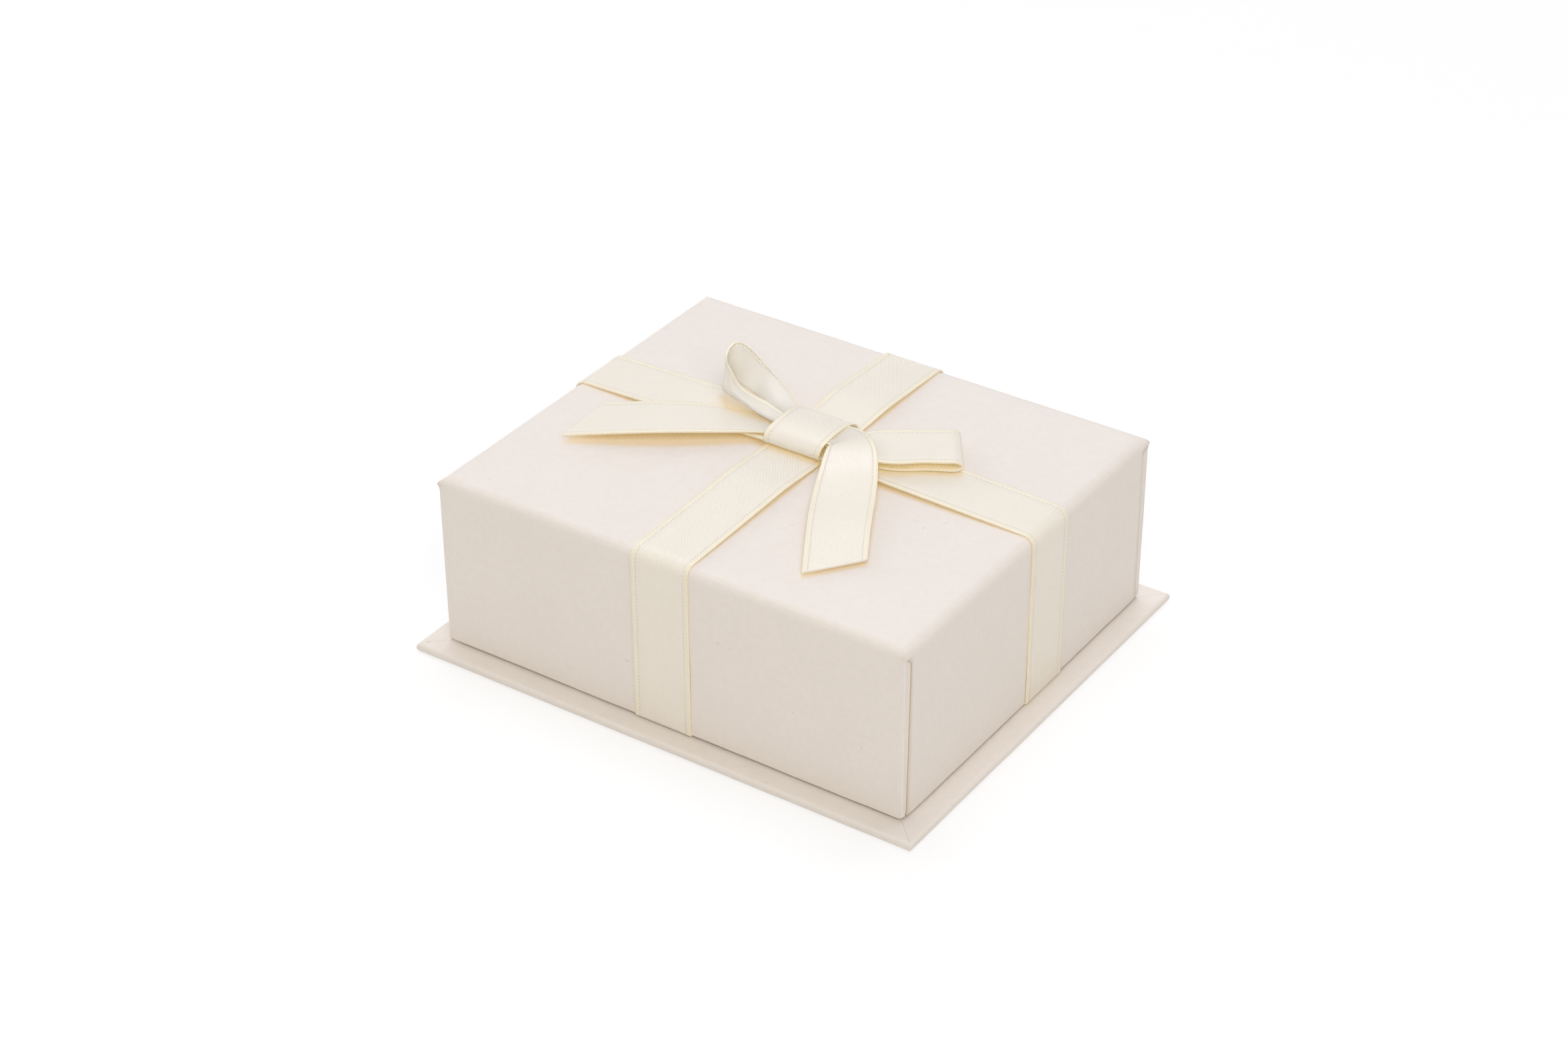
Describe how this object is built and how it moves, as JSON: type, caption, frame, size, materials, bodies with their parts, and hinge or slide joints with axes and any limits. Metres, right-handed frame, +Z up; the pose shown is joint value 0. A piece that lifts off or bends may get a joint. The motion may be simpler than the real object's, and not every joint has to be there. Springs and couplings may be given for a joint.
{
  "type": "favor box",
  "caption": "Small rigid gift box with a paper-wrapped flanged base, a lined tray and a lift-off lid dressed with crossed satin ribbons and a tied bow.",
  "frame": {"origin": "centre of the base plate's underside, on the table", "axes": "+X along the longer side, +Y across towards the back, +Z up, the way the lid lifts"},
  "size_m": [0.0892, 0.0762, 0.0401],
  "materials": {
    "pearl_paper": "satin",
    "greyboard": "matte",
    "lining_paper": "matte",
    "stay_tape": "matte",
    "satin_ribbon": "satin"
  },
  "bodies": {
    "base": {"base_board": "greyboard", "base_wrap": "pearl_paper", "tray_floor": "greyboard", "tray_front_wall": "greyboard", "tray_back_wall": "greyboard", "tray_left_wall": "greyboard", "tray_right_wall": "greyboard", "tray_corner_stays": "stay_tape", "tray_wrap": "pearl_paper", "tray_lining": "lining_paper"},
    "lid": {"lid_top_board": "greyboard", "lid_front_wall": "greyboard", "lid_back_wall": "greyboard", "lid_left_wall": "greyboard", "lid_right_wall": "greyboard", "lid_corner_stays": "stay_tape", "lid_wrap": "pearl_paper", "lid_lining": "lining_paper", "ribbon_long": "satin_ribbon", "ribbon_cross": "satin_ribbon", "bow_knot": "satin_ribbon", "bow_loop_left": "satin_ribbon", "bow_loop_right": "satin_ribbon", "bow_tail_left": "satin_ribbon", "bow_tail_front": "satin_ribbon"}
  },
  "joints": [
    {"name": "lid_lift", "type": "slide", "parent": "base", "child": "lid", "axis": [0, 0, 1], "range_m": [0, 0.045]}
  ]
}
